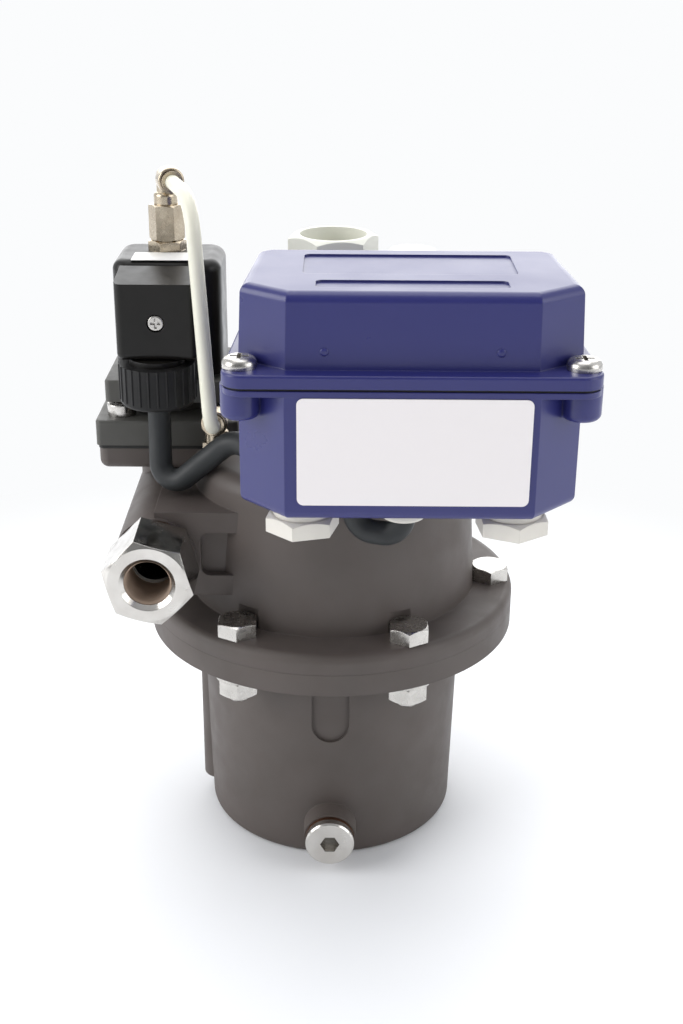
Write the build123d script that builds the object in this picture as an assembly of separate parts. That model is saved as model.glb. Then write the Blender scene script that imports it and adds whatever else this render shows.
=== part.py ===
from build123d import *
from math import cos, pi, radians, sin, tan
import os

# Level-controlled condensate drain for a compressed-air line, in millimetres, +Z up.
# The origin is the centre of the cup's flat base; the outlet faces -Y.
# Condensate enters the head from above, collects in the cup round a level probe, and
# leaves through a diaphragm valve that a small pilot solenoid opens.

# ---------------------------------------------------------------- driving dimensions
# Flanged joint between the cup and the head
flange_r = 67.5
cup_flange_h = 8.0
head_flange_h = 6.8
joint_z = 87.2
bolt_circle_r = 59.0
bolt_count = 6
bolt_clocking = -33.0
bolt_r = 4.0
bolt_hole_r = 4.5
bolt_head_af = 13.0
bolt_head_h = 5.3
bolt_face_r = 7.8
nut_h = 6.5
washer_r = 8.0
washer_h = 1.6
bolt_end = 2.6
ring_section_r = 1.45
ring_groove_r = 48.0
groove_gap = 0.05

# Cup
cup_top_r = 48.6
cup_foot_r = 46.6
cup_wall = 5.4
cup_floor = 6.0
cup_foot_fillet = 2.5
root_fillet = 3.0
slot_w = 13.3
slot_foot_z = 49.0
slot_depth = 1.2
side_rib_r = 7.0
side_rib_stand_off = 43.4
side_rib_foot_z = 7.0

# Manual drain plug, a collared pipe plug with a hexagon socket
drain_z = 13.5
drain_boss_r = 9.5
drain_boss_face = 55.2
drain_thread_r = 6.55
drain_thread_len = 12.0
drain_collar_r = 8.8
drain_collar_h = 3.0
drain_socket_af = 6.0
drain_socket_depth = 6.0
drain_seal_h = 1.5
thread_gap = 0.04

# Head casting
neck_foot_r = 53.0
neck_top_r = 50.0
neck_top_z = 146.0
neck_shoulder = 6.0
head_wall = 7.5
head_roof = 8.0
arm_front = 39.5
arm_back = 36.0
arm_low_z = 103.5
arm_high_z = 134.5
pocket_x0 = -45.0
pocket_x1 = -28.0
pocket_margin = 7.5
pocket_depth = 3.0

# Inlet and vent stubs on top of the head, closed with plastic transport plugs
inlet_r = 19.0
inlet_y = 3.0
inlet_top_z = 206.0
inlet_thread_r = 12.06
inlet_thread_len = 20.0
inlet_passage_r = 10.0
inlet_hex_af = 27.5
inlet_collar_r = 16.0
inlet_collar_h = 2.5
inlet_hex_h = 13.0
inlet_plug_depth = 12.0
plug_wall = 2.2
vent_x = 28.0
vent_y = 14.0
vent_r = 11.0
vent_top_z = 207.0
vent_thread_r = 5.75
vent_cap_r = 8.5
vent_cap_h = 7.0
vent_plug_depth = 9.0

# Outlet
outlet_x = -60.6
outlet_z = 118.5
outlet_boss_r = 14.0
outlet_boss_h = 1.2
outlet_thread_r = 7.95
outlet_thread_len = 18.0
outlet_bore_r = 7.2
outlet_chamfer = 1.5
bush_af = 27.2
bush_front = 63.4
bush_seal_h = 0.8
bush_spigot_r = 12.0
bush_spigot_len = 10.0

# Diaphragm valve
valve_x = -59.4
valve_y = 20.0
body_half = 24.9
body_low_z = 137.0
body_top_z = 145.0
body_corner_r = 3.5
body_edge = 3.0
membrane_h = 1.3
cover_half = 25.5
cover_h = 9.3
cover_corner_r = 2.0
annulus_depth = 5.0
cavity_r = 17.0
cavity_h = 7.4
seat_bore_r = 8.0
seat_wall = 2.5
seat_column_r = 13.0
seat_drop = 1.5
disc_r = 12.5
disc_h = 3.0
disc_plate_h = 2.0
valve_lift = 3.0
feed_r = 4.0
cover_screw_pitch = 34.0
cover_screw_r = 3.0
cover_screw_head_r = 5.0
cover_screw_head_h = 4.5
cover_screw_socket_af = 5.0
cover_screw_socket_depth = 2.5
cover_screw_len = 16.5

# Pilot solenoid
pilot_half = 22.0
pilot_corner_r = 2.0
pilot_neck_r = 15.0
pilot_neck_h = 5.9
pilot_plate_h = 8.0
nozzle_r = 3.0
nozzle_bore_r = 1.2
nozzle_h = 1.0
tube_collar_r = 11.0
tube_collar_h = 1.5
guide_r = 6.5
armature_r = 4.5
armature_lift = 1.5
armature_len = 34.0
armature_gap = 0.06
stud_r = 4.0
coil_w = 38.0
coil_reach_front = 20.0
coil_reach_back = 12.0
coil_shift = 1.2
coil_h = 41.0
coil_corner_r = 6.0
coil_edge = 4.0
coil_nut_af = 12.0
coil_nut_h = 3.6
riser_af = 11.0
riser_h = 12.6

# Electrical plug on the coil
plug_w = 27.5
plug_h = 26.5
plug_front = 22.5
plug_top_z = 209.3
plug_edge = 2.5
plug_pad_h = 3.0
plug_gasket_h = 1.5
plug_cover_t = 8.0
plug_screw_r = 2.75
gland_y = -15.8
gland_shift = -0.9
gland_r = 13.0
gland_h = 14.5
gland_clear = 1.9
gland_ribs = 26
gland_neck_r = 9.5
cable_r = 4.0

# Pilot line
line_r = 2.5
line_gap = 0.06
collet_r = 3.7
collet_h = 1.9
collet_travel = 1.0
barrel_r = 4.6
elbow_collar_r = 4.2
elbow_collar_h = 4.4
elbow_neck_r = 3.1
elbow_rise = 9.8
elbow_reach = 12.5
elbow_yaw = 17.0
port_x = -40.8
port_y = -11.5
port_reach = 10.5
port_foot_z = 146.4
port_hex_af = 9.0
port_hex_h = 4.2
port_boss_r = 5.8
port_bore_r = 1.5

# Control box
box_x = 23.4
box_front = 100.5
box_back = 24.5
box_floor_z = 157.9
box_wall = 2.5
box_face_w = 73.6
box_w = 101.5
box_taper = 4.0
box_chamfer = 14.3
box_edge = 3.0
box_h = 39.9
gasket_h = 0.8
gasket_inset = 0.9
rim_reach_front = 0.5
rim_reach_back = 1.2
rim_reach_side = 4.65
rim_h = 4.0
rim_corner_r = 6.5
lip_h = 1.8
dome_rise = 22.4
dome_set_front = 5.1
dome_set_back = 12.5
dome_draft = 0.9
dome_back_draft = 4.0
dome_edge = 3.0
dome_face_inset = 0.2
dome_chamfer = 11.2
dome_back_chamfer = 7.0
dome_back_corner = 3.0
panel_depth = 0.6
panel_margin_x = 18.7
panel_margin_back = 8.0
panel_d = 26.0
field_margin_x = 22.8
field_gap = 8.0
field_d = 9.0
lid_screw_inset_x = 5.6
lid_screw_inset_y = 9.0
lid_screw_inset_back = 6.0
lid_screw_r = 5.2
lid_screw_head_h = 3.2
lid_screw_shank_r = 2.0
lid_boss_r = 5.9
lid_boss_h = 10.3

# Rating plate
label_w = 68.0
label_h = 32.8
label_t = 0.4
label_x = 24.2
label_rise = 21.5

# Fittings under the control box
blank_af = 20.0
blank_h = 5.3
blank_collar_h = 2.6
blank_collar_r = 9.0
blank_thread_r = 8.0
blank_x = 31.9
blank_y = -87.0
blank_inner = 7.0
entry_y = -62.0
entry_r = 7.5
entry_h = 14.5
entry_grip = 6.0
entry_thread_r = 6.0
entry_hex_af = 17.0
entry_hex_h = 5.0

# Level probe and the seat of the control box on the head
probe_x = 5.0
probe_y = -35.5
seat_r = 11.0
seat_w = 32.0
seat_front = 46.0
seat_back = 26.0
box_gasket_h = 1.0
probe_body_r = 6.5
probe_hex_af = 16.0
probe_nut_h = 6.0
probe_body_len = 26.0
probe_rod_r = 1.6
probe_sleeve_r = 3.5
box_screw_r = 2.0
box_screw_head_r = 3.6
box_screw_head_h = 2.4
box_screw_len = 12.0
probe_foot_z = 14.0
probe_rise = 9.0
probe_rod_out = 5.0
board_h = 1.6
board_rise = 24.1
board_margin_x = 10.8
board_margin_y = 11.0
pillar_r = 3.0
pillar_inset_x = 18.0
pillar_inset_y = 9.0
terminal_w = 40.0
terminal_d = 12.0
terminal_h = 11.0
terminal_inset = 26.0

running_gap = 0.05
soft_gap = 0.3

# ---------------------------------------------------------------- derived levels
head_top_z = joint_z + head_flange_h
cup_flange_z = joint_z - cup_flange_h
cup_inner_r = cup_top_r - cup_wall
chamber_r = neck_foot_r - head_wall - 2.0
drain_plug_face = drain_boss_face + drain_seal_h
cover_z = body_top_z + membrane_h
cover_top_z = cover_z + cover_h
seat_z = body_top_z - seat_drop
plate_z = cover_top_z + pilot_neck_h
outlet_face = arm_front + outlet_boss_h
pilot_top_z = plate_z + pilot_plate_h
coil_z = pilot_top_z + tube_collar_h
coil_top_z = coil_z + coil_h
nozzle_z = pilot_top_z - 7.5
core_z = nozzle_z + armature_len + armature_lift
coil_front = valve_y - coil_reach_front
plug_back = plug_pad_h + plug_gasket_h
plug_low_z = plug_top_z - plug_h
plug_mid_z = plug_top_z - plug_h / 2
gland_x = valve_x + gland_shift
gland_foot_z = plug_low_z - gland_clear - gland_h
riser_z = coil_top_z + coil_nut_h
elbow_z = riser_z + riser_h
port_z = port_foot_z + port_hex_h + elbow_rise
seam_z = box_floor_z + box_h
lid_z = seam_z + gasket_h
rim_top_z = lid_z + rim_h
dome_top_z = rim_top_z + dome_rise
rim_front = box_front + rim_reach_front
rim_back = box_back - rim_reach_back
rim_w = box_w + 2 * rim_reach_side
dome_front = box_front - dome_set_front
dome_back = box_back + dome_set_back
entry_foot_z = box_floor_z - entry_h
probe_top_z = box_floor_z + probe_rise
board_z = box_floor_z + board_rise
board_w = box_w - 2 * board_margin_x
board_d = box_front - box_back - 2 * board_margin_y
board_y = (-box_front - box_back) / 2 - 2
seat_top_z = box_floor_z - box_gasket_h
valve_axis = Pos(valve_x, valve_y, 0)

# The cable drops from the plug's gland, turns up past the lower elbow, passes between the
# head and the control box, drops in front of the neck and turns up into the entry gland.
cable_points = [
    (gland_x, gland_y, gland_foot_z + 12.0),
    (gland_x, gland_y, 160.0),
    (-59.9, -21.7, 133.5),
    (-33.2, -28.5, 158.0),
    (-16.0, -43.0, 149.6),
    (7.6, -57.0, 149.9),
    (7.6, -57.0, 136.4),
    (box_x, entry_y, 136.4),
    (box_x, entry_y, entry_foot_z + entry_grip - 1),
]
cable_radii = [25.0, 6.0, 10.0, 30.0, 6.8, 6.8, 6.8]


# ---------------------------------------------------------------- shared shapes
def bar(radius, length, start, direction):
    """A round bar that starts at a point and runs along a direction."""
    place = Plane(origin=start, z_dir=direction)
    return place * Cylinder(radius, length, align=(Align.CENTER, Align.CENTER, Align.MIN))


def post(radius, low_z, high_z):
    """A vertical round bar on the Z axis between two levels."""
    return Pos(0, 0, low_z) * Cylinder(
        radius, high_z - low_z, align=(Align.CENTER, Align.CENTER, Align.MIN))


def ring(outer_r, inner_r, low_z, high_z):
    """A flat ring on the Z axis between two levels."""
    return post(outer_r, low_z, high_z) - post(inner_r, low_z, high_z)


def hexagon(across_flats, low_z, high_z, turn=0.0):
    """A hexagonal prism on the Z axis; turn 0 puts a corner on +Y."""
    shape = RegularPolygon(across_flats / 2, 6, major_radius=False, rotation=turn)
    return Pos(0, 0, low_z) * extrude(shape, high_z - low_z)


def crowned_hexagon(across_flats, low_z, high_z, turn=0.0, crown_top=True, crown_foot=False):
    """A hexagon whose corners are turned down at 30 degrees, as on a nut or bolt head."""
    corner_r = across_flats / 2 / cos(radians(30))
    crown = corner_r - across_flats / 2 * 0.97
    round_blank = post(corner_r, low_z, high_z)
    rise = crown * tan(radians(30))
    if crown_top:
        round_blank = chamfer(round_blank.edges().sort_by(Axis.Z)[-1:], rise, crown)
    if crown_foot:
        round_blank = chamfer(round_blank.edges().sort_by(Axis.Z)[:1], rise, crown)
    return hexagon(across_flats, low_z, high_z, turn) & round_blank


def rounded_block(half, low_z, high_z, corner_r):
    """A square block on the Z axis with rounded upright edges."""
    shape = RectangleRounded(2 * half, 2 * half, corner_r)
    return Pos(0, 0, low_z) * extrude(shape, high_z - low_z)


def corners(pitch_x, pitch_y=None):
    """The four corners of a rectangle centred on the Z axis."""
    pitch_y = pitch_x if pitch_y is None else pitch_y
    return [(sx * pitch_x / 2, sy * pitch_y / 2) for sx in (-1, 1) for sy in (-1, 1)]


def bolt_places():
    """Centres of the flange bolts, counted from the front towards +X."""
    angles = [radians(bolt_clocking + 360 / bolt_count * i) for i in range(bolt_count)]
    return [Pos(bolt_circle_r * sin(a), -bolt_circle_r * cos(a), 0) for a in angles]


def frontward(shape, x, y, z):
    """Lays a shape built on the Z axis down so that its top faces -Y."""
    return Pos(x, y, z) * Rot(90, 0, 0) * shape


def coil_spring(radius, wire_r, low_z, high_z, turns):
    """A round-wire compression spring on the Z axis between two levels."""
    height = high_z - low_z - 2 * wire_r
    path = Pos(0, 0, low_z + wire_r) * Helix(height / turns, height, radius)
    section = Plane(origin=path @ 0, z_dir=path % 0) * Circle(wire_r)
    return sweep(section, path=path)


# ---------------------------------------------------------------- cup and joint
def make_cup():
    wall = Cone(cup_foot_r, cup_top_r, cup_flange_z, align=(Align.CENTER, Align.CENTER, Align.MIN))
    wall += side_stripe()
    wall += bar(drain_boss_r, drain_boss_face - cup_foot_r + 8, (0, -cup_foot_r + 8, drain_z), (0, -1, 0))
    cup = wall + post(flange_r, cup_flange_z, joint_z)
    cup = fillet(cup.edges().filter_by(GeomType.CIRCLE).group_by(Axis.Z)[0], cup_foot_fillet)
    inner_foot_r = cup_foot_r - cup_wall
    cup -= Pos(0, 0, cup_floor) * Cone(
        inner_foot_r, cup_inner_r, joint_z - cup_floor, align=(Align.CENTER, Align.CENTER, Align.MIN))
    cup -= ring(ring_groove_r + ring_section_r + groove_gap, ring_groove_r - ring_section_r - groove_gap,
                joint_z - 2 * ring_section_r - groove_gap, joint_z)
    for place in bolt_places():
        cup -= place * post(bolt_hole_r, cup_flange_z, joint_z)
    cup -= bar(drain_thread_r + thread_gap, drain_boss_face, (0, -drain_boss_face, drain_z), (0, 1, 0)) \
        & Pos(0, -drain_boss_face, drain_z) * Box(40, 2 * (drain_boss_face - inner_foot_r + 2), 40)
    return cup - front_slot()


def side_stripe():
    """The thickened stripe that runs down the cup's left side."""
    return Pos(-side_rib_stand_off, 0, 0) * post(side_rib_r, side_rib_foot_z, cup_flange_z)


def front_slot():
    """The shallow round-ended field below the flange at the front."""
    straight = cup_flange_z - slot_foot_z - slot_w / 2
    field = Rectangle(slot_w, straight, align=(Align.CENTER, Align.MIN)) + Circle(slot_w / 2)
    cutter = Pos(0, -cup_top_r - 5, slot_foot_z + slot_w / 2) * Rot(90, 0, 0) * extrude(field, -15)
    core = Cone(cup_foot_r - slot_depth, cup_top_r - slot_depth, cup_flange_z,
                align=(Align.CENTER, Align.CENTER, Align.MIN))
    return cutter - core


def make_flange_ring():
    return Pos(0, 0, joint_z - ring_section_r - groove_gap / 2) * Torus(ring_groove_r, ring_section_r)


def make_flange_bolt():
    foot_z = cup_flange_z - washer_h - nut_h - bolt_end
    shank = post(bolt_r, foot_z, head_top_z)
    shank = chamfer(shank.edges().sort_by(Axis.Z)[:1], 0.8)
    return shank + crowned_hexagon(bolt_head_af, head_top_z, head_top_z + bolt_head_h, 90)


def make_flange_washer():
    return ring(washer_r, bolt_r + 0.2, cup_flange_z - washer_h, cup_flange_z)


def make_flange_nut():
    top_z = cup_flange_z - washer_h
    blank = crowned_hexagon(bolt_head_af, top_z - nut_h, top_z, 90, crown_foot=True)
    return blank - post(bolt_r + running_gap, top_z - nut_h, top_z)


def make_drain_plug():
    collar = post(drain_collar_r, 0, drain_collar_h)
    collar = chamfer(collar.edges().sort_by(Axis.Z)[-1:], 0.6)
    shank = post(drain_thread_r, -drain_seal_h - drain_thread_len, 0)
    socket = hexagon(drain_socket_af, drain_collar_h - drain_socket_depth, drain_collar_h)
    return frontward(collar + shank - socket, 0, -drain_plug_face, drain_z)


def make_drain_seal():
    washer = ring(drain_collar_r, drain_thread_r + thread_gap, -drain_seal_h, 0)
    return frontward(washer, 0, -drain_plug_face, drain_z)


# ---------------------------------------------------------------- head casting
def make_head():
    neck = Pos(0, 0, head_top_z) * Cone(
        neck_foot_r, neck_top_r, neck_top_z - head_top_z, align=(Align.CENTER, Align.CENTER, Align.MIN))
    neck = fillet(neck.edges().sort_by(Axis.Z)[-1:], neck_shoulder)
    flange = post(flange_r, joint_z, head_top_z)
    flange = fillet(flange.edges().sort_by(Axis.Z)[-1:], root_fillet)
    head = flange + neck
    head += make_arm()
    head += make_valve_body()
    head += Pos(0, inlet_y, 0) * fillet(
        post(inlet_r, neck_top_z - head_roof / 2, inlet_top_z).edges().sort_by(Axis.Z)[-1:], 1.5)
    head += Pos(vent_x, vent_y, 0) * post(vent_r, neck_top_z - head_roof / 2, vent_top_z)
    head += make_box_seat()
    head += Pos(port_x, port_y, 0) * post(port_boss_r, neck_top_z - head_roof / 2, port_foot_z)
    head -= valve_axis * rounded_block(cover_half + soft_gap, body_top_z, inlet_top_z, cover_corner_r)
    head -= make_head_passages()
    for place in bolt_places():
        head -= place * post(bolt_hole_r, joint_z, head_top_z)
        head -= place * post(bolt_face_r, head_top_z, head_top_z + bolt_head_h + 2)
    return head


def make_valve_body():
    """The square block under the diaphragm, and the column that carries its seat."""
    block = rounded_block(body_half, body_low_z, body_top_z, body_corner_r)
    block = fillet(block.edges().group_by(Axis.Z)[0], body_edge)
    return valve_axis * (block + post(seat_column_r, outlet_z, body_low_z + 1))


def make_box_seat():
    """The pad on top of the neck that carries the control box and the level probe."""
    low_z = neck_top_z - head_roof / 2
    pad = Pos(probe_x, -seat_front, low_z) * Box(
        seat_w, seat_front - seat_back, seat_top_z - low_z, align=(Align.MIN, Align.MIN, Align.MIN))
    pad &= post(neck_top_r - 1, low_z, seat_top_z)
    return pad + Pos(probe_x, probe_y, 0) * post(seat_r, low_z, seat_top_z)


def box_screw_places():
    return [Pos(probe_x + 13.5, probe_y - 2.5, 0), Pos(probe_x + 25, probe_y + 4, 0)]


def make_arm():
    """The box-section arm that carries the valve, with the round outlet duct at its end."""
    arm_w = -outlet_x - neck_foot_r / 2
    height = arm_high_z - arm_low_z
    arm = Pos(outlet_x, -arm_front, arm_low_z) * Box(
        arm_w, arm_front + arm_back, height, align=(Align.MIN, Align.MIN, Align.MIN))
    mouth = (outlet_x, -outlet_face, outlet_z)
    duct = bar(outlet_boss_r, outlet_boss_h + arm_front + arm_back, mouth, (0, 1, 0))
    pocket = Pos((pocket_x0 + pocket_x1) / 2, -arm_front, (arm_low_z + arm_high_z) / 2) * Rot(90, 0, 0) \
        * extrude(RectangleRounded(pocket_x1 - pocket_x0, height - 2 * pocket_margin, 3), -pocket_depth)
    return arm + duct - pocket


def make_head_passages():
    """The chamber over the cup, the inlet, and the ways to and from the diaphragm."""
    roof_z = neck_top_z - head_roof
    chamber = Pos(0, 0, joint_z) * Cone(
        chamber_r, chamber_r - 3, roof_z - joint_z, align=(Align.CENTER, Align.CENTER, Align.MIN))
    inlet = Pos(0, inlet_y, 0) * (
        post(inlet_passage_r, roof_z - 1, inlet_top_z) + post(
            inlet_thread_r, inlet_top_z - inlet_thread_len, inlet_top_z))
    vent = Pos(vent_x, vent_y, 0) * post(vent_thread_r, roof_z - 1, vent_top_z)
    probe = Pos(probe_x, probe_y, 0) * post(probe_body_r + running_gap, roof_z - 1, seat_top_z)
    annulus = valve_axis * ring(cavity_r, seat_bore_r + seat_wall, body_top_z - annulus_depth, body_top_z)
    seat = valve_axis * (post(seat_bore_r, outlet_z, body_top_z) + post(cavity_r, seat_z, body_top_z))
    feed = bar(feed_r, 30, (valve_x + cavity_r - 2, valve_y, body_top_z - 2 - feed_r), (1, 0, 0))
    mouth = (outlet_x, -outlet_face, outlet_z)
    duct = bar(outlet_bore_r, outlet_face + valve_y, mouth, (0, 1, 0))
    bush_seat = bar(bush_spigot_r + running_gap, bush_spigot_len, mouth, (0, 1, 0))
    port = bar(port_bore_r, 8, (port_x, port_y, port_foot_z), (0, 0, -1))
    port += bar(port_bore_r, 12, (port_x, port_y, port_foot_z - 7), (-port_x, -port_y, -10))
    screws = Part()
    for place in box_screw_places():
        screws += place * post(box_screw_r + thread_gap, seat_top_z - box_screw_len, seat_top_z)
    for x, y in corners(cover_screw_pitch):
        screws += valve_axis * Pos(x, y, 0) * post(
            cover_screw_r + running_gap, cover_top_z - cover_screw_len - 1, body_top_z)
    return [chamber, inlet, vent, probe, annulus, seat, feed, duct, bush_seat, port, screws]


# ---------------------------------------------------------------- ports and plugs
def make_outlet_bush():
    length = bush_front - outlet_face - bush_seal_h
    body = crowned_hexagon(bush_af, 0, length, 45)
    body += post(bush_spigot_r, -bush_seal_h - bush_spigot_len, 0)
    body -= post(outlet_bore_r, -bush_seal_h - bush_spigot_len, length)
    body -= post(outlet_thread_r, length - outlet_chamfer - outlet_thread_len, length)
    body -= Pos(0, 0, length - outlet_chamfer) * Cone(
        outlet_thread_r, outlet_thread_r + outlet_chamfer, outlet_chamfer,
        align=(Align.CENTER, Align.CENTER, Align.MIN))
    return frontward(body, outlet_x, -outlet_face - bush_seal_h, outlet_z)


def make_outlet_seal():
    washer = ring(outlet_boss_r - 0.5, bush_spigot_r + running_gap, -bush_seal_h, 0)
    return frontward(washer, outlet_x, -outlet_face - bush_seal_h, outlet_z)


def make_inlet_plug():
    collar_top = inlet_top_z + inlet_collar_h
    plug = post(inlet_collar_r, inlet_top_z, collar_top)
    plug += crowned_hexagon(inlet_hex_af, collar_top, collar_top + inlet_hex_h, 10)
    plug_foot_z = inlet_top_z - inlet_plug_depth
    plug += post(inlet_thread_r - soft_gap, plug_foot_z, inlet_top_z)
    plug -= post(inlet_hex_af / 2 - plug_wall, collar_top + 1, collar_top + inlet_hex_h)
    plug -= post(inlet_thread_r - soft_gap - plug_wall, plug_foot_z + plug_wall, collar_top + 1)
    return Pos(0, inlet_y, 0) * plug


def make_vent_plug():
    cap = fillet(post(vent_cap_r, vent_top_z, vent_top_z + vent_cap_h).edges().sort_by(Axis.Z)[-1:], 1.2)
    thread = post(vent_thread_r - soft_gap, vent_top_z - vent_plug_depth, vent_top_z)
    return Pos(vent_x, vent_y, 0) * (cap + thread)


# ---------------------------------------------------------------- diaphragm valve
def make_diaphragm():
    """The moulded rubber membrane: a clamped border and a rolled ring round the disc."""
    roll_r = (cavity_r - disc_r) / 2 - soft_gap
    middle_r = (cavity_r + disc_r) / 2
    sheet = rounded_block(body_half, body_top_z, cover_z, cover_corner_r)
    sheet -= post(cavity_r - 0.5, body_top_z, cover_z)
    roll = Pos(0, 0, body_top_z) * Torus(middle_r, roll_r)
    roll &= ring(middle_r + roll_r, middle_r - roll_r, body_top_z, body_top_z + 4)
    roll -= Pos(0, 0, body_top_z) * Torus(middle_r, roll_r - 0.9)
    flat = ring(cavity_r, middle_r + roll_r - 0.9, body_top_z, cover_z)
    sheet += roll + flat
    for x, y in corners(cover_screw_pitch):
        sheet -= Pos(x, y, 0) * post(cover_screw_r + soft_gap, body_top_z, cover_z)
    return valve_axis * sheet


def make_valve_disc():
    """The rubber-faced closing disc that the membrane carries down onto the seat."""
    face = post(disc_r, seat_z, seat_z + disc_h)
    plate = post(disc_r - 1.5, seat_z + disc_h, seat_z + disc_h + disc_plate_h)
    spigot = post(5.0, seat_z + disc_h + disc_plate_h, seat_z + disc_h + disc_plate_h + 1.2)
    return valve_axis * (face + plate + spigot)


def make_valve_spring():
    low_z = seat_z + disc_h + disc_plate_h
    return valve_axis * coil_spring(7.5, 0.6, low_z, cover_z + cavity_h, 3)


def make_valve_cover():
    cover = rounded_block(cover_half, cover_z, cover_top_z, cover_corner_r)
    cover = fillet(cover.edges().group_by(Axis.Z)[-1], 0.8)
    cover -= post(cavity_r, cover_z, cover_z + cavity_h)
    cover -= post(nozzle_bore_r, cover_z, cover_top_z)
    for x, y in corners(cover_screw_pitch):
        cover -= Pos(x, y, 0) * post(cover_screw_r + running_gap, cover_z, cover_top_z)
    return valve_axis * cover


def make_cover_screw():
    """A socket head cap screw."""
    top_z = cover_top_z + cover_screw_head_h
    head = fillet(post(cover_screw_head_r, cover_top_z, top_z).edges().sort_by(Axis.Z)[-1:], 0.5)
    head -= hexagon(cover_screw_socket_af, top_z - cover_screw_socket_depth, top_z, 20)
    return head + post(cover_screw_r, cover_top_z - cover_screw_len, cover_top_z)


# ---------------------------------------------------------------- pilot solenoid
def make_pilot_base():
    base = post(pilot_neck_r, cover_top_z, plate_z)
    plate = rounded_block(pilot_half, plate_z, pilot_top_z, pilot_corner_r)
    base += fillet(plate.edges().group_by(Axis.Z)[-1], 0.8)
    base -= post(guide_r + running_gap, nozzle_z - nozzle_h, pilot_top_z)
    base += post(nozzle_r, nozzle_z - nozzle_h, nozzle_z)
    base -= post(nozzle_bore_r, cover_top_z, nozzle_z)
    return valve_axis * base


def make_guide_tube():
    """The pressure-tight tube that holds the armature and carries the coil."""
    guide = post(guide_r, nozzle_z + 1, coil_top_z)
    guide += post(tube_collar_r, pilot_top_z, coil_z)
    guide += post(stud_r, coil_top_z, elbow_z - 3)
    guide -= post(armature_r + armature_gap, nozzle_z + 1, core_z)
    guide -= post(1.0, core_z, elbow_z - 3)
    return valve_axis * guide


def make_armature():
    body = post(armature_r, nozzle_z, nozzle_z + armature_len)
    body -= post(armature_r - 0.9, nozzle_z + armature_len - 9, nozzle_z + armature_len)
    return valve_axis * body


def make_armature_spring():
    low_z = nozzle_z + armature_len - 9
    return valve_axis * coil_spring(2.7, 0.35, low_z, core_z, 6)


def make_coil():
    depth = coil_reach_front + coil_reach_back
    plan = RectangleRounded(coil_w, depth, coil_corner_r)
    middle_y = (coil_reach_back - coil_reach_front) / 2
    body = Pos(coil_shift, middle_y, coil_z) * extrude(plan, coil_h)
    body = fillet(body.edges().group_by(Axis.Z)[-1], coil_edge)
    pad = Pos(0, -coil_reach_front, plug_low_z) * Box(
        plug_w, 2 * plug_pad_h, plug_h - 1, align=(Align.CENTER, Align.CENTER, Align.MIN))
    body += pad
    body -= post(guide_r + running_gap, coil_z, coil_top_z)
    return valve_axis * body - plug_screw_way()


def plug_screw_way():
    """The straight hole for the plug's centre screw, from the plug's face into the coil."""
    return frontward(post(1.5 + running_gap, -plug_front, 1), valve_x, -plug_front, plug_mid_z)


def make_coil_nut():
    nut = crowned_hexagon(coil_nut_af, coil_top_z, riser_z, 15)
    return valve_axis * (nut - post(stud_r + running_gap, coil_top_z, riser_z))


def make_riser():
    """The long hexagonal adapter from the guide tube's stud to the pilot line."""
    body = crowned_hexagon(riser_af, riser_z, elbow_z, 0, crown_foot=True)
    body -= post(stud_r + running_gap, riser_z, elbow_z - 3)
    return valve_axis * (body - post(1.5, elbow_z - 3, elbow_z))


# ---------------------------------------------------------------- electrical plug
def make_plug_gasket():
    sheet = frontward(extrude(RectangleRounded(plug_w - 1, plug_h - 1.5, 2), plug_gasket_h),
                      valve_x, coil_front - plug_pad_h, plug_mid_z)
    return sheet - plug_screw_way()


def make_plug_housing():
    depth = plug_front - plug_back
    side = make_face(Polyline(
        [(0, plug_low_z), (0, plug_top_z), (depth, plug_top_z + 2.2), (depth, plug_low_z)], close=True))
    side = fillet(side.vertices().sort_by(Axis.Y)[:2].sort_by(Axis.X)[0], plug_edge)
    body = Plane.YZ * side
    body = Pos(valve_x - plug_w / 2, -plug_front, 0) * extrude(body, plug_w, dir=(1, 0, 0))
    front_edges = body.edges().filter_by(Axis.Z).group_by(Axis.Y)[0]
    body = fillet(front_edges, plug_edge)
    spout = Pos(gland_x, gland_y, 0) * post(gland_neck_r, gland_foot_z + 4, plug_low_z)
    body += spout & Pos(valve_x, -plug_back - 20, 0) * Box(60, 40, 600)
    inner = Pos(valve_x, -plug_back, plug_mid_z) * Box(
        plug_w - 5, 2 * (depth - plug_cover_t), plug_h - 5)
    body -= inner
    body -= Pos(gland_x, gland_y, 0) * post(cable_r + running_gap, gland_foot_z, plug_low_z + 12)
    head_seat = frontward(post(plug_screw_r + 0.25, -2.2, 1), valve_x, -plug_front, plug_mid_z)
    return body - plug_screw_way() - head_seat


def make_plug_insert():
    """The contact block inside the plug, with its three flat contacts."""
    depth = plug_front - plug_back - plug_cover_t - soft_gap
    block = Pos(valve_x, -plug_back, plug_mid_z) * Box(
        plug_w - 6, depth, plug_h - 6, align=(Align.CENTER, Align.MAX, Align.CENTER))
    block -= Pos(gland_x, gland_y, 0) * post(cable_r + 1, gland_foot_z, plug_top_z - 12)
    return block - plug_screw_way()


def make_plug_screw():
    head = fillet(post(plug_screw_r, -1.9, 0).edges().sort_by(Axis.Z)[-1:], 0.6)
    head -= Box(0.8, 3.4, 2.0) + Box(3.4, 0.8, 2.0)
    shank = post(1.5, -plug_front + 1, -1.9)
    return frontward(head + shank, valve_x, -plug_front, plug_mid_z)


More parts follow.
